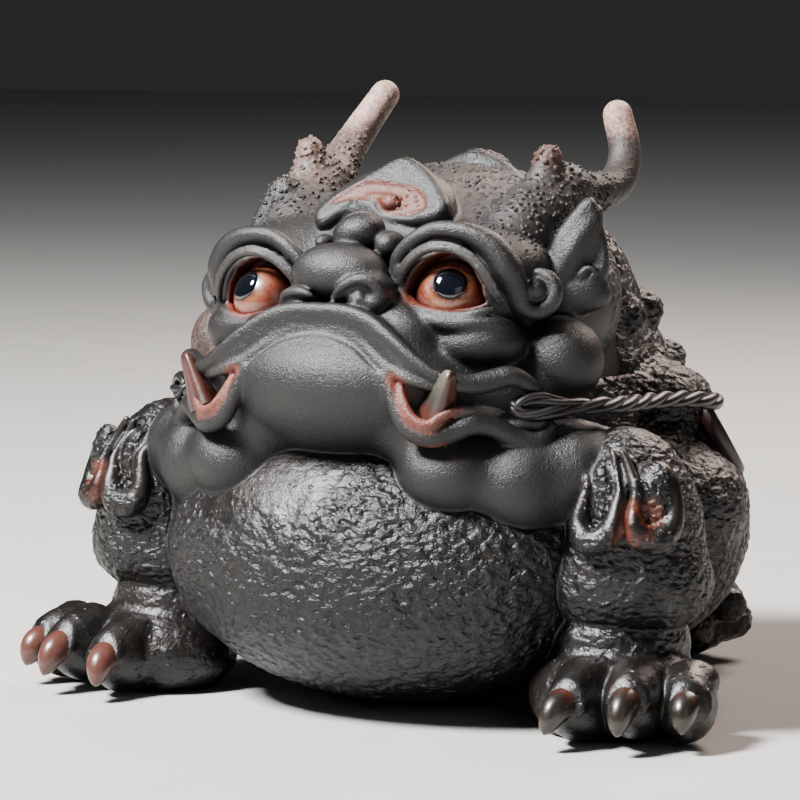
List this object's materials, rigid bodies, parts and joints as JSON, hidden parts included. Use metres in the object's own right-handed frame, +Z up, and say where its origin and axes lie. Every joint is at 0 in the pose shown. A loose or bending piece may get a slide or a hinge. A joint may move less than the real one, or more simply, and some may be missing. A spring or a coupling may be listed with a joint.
{
  "type": "money toad figure",
  "caption": "Squat money toad with forked horns, a wide down-turned mouth, tusks, clawed feet and a twisted rope with coins round its back, modelled in dark fired clay.",
  "frame": {"origin": "on the surface it stands on, under the middle of the figure's bounding box", "axes": "+Z up, the toad faces -Y, its left side is +X"},
  "size_m": [0.1296, 0.1046, 0.1019],
  "materials": {
    "clay": "satin smoke-dark fired clay, rubbed terracotta red in the hollows, with orange-brown glazed eyes and black gloss pupils"
  },
  "bodies": {
    "root": {"money_toad": "clay"}
  },
  "joints": []
}
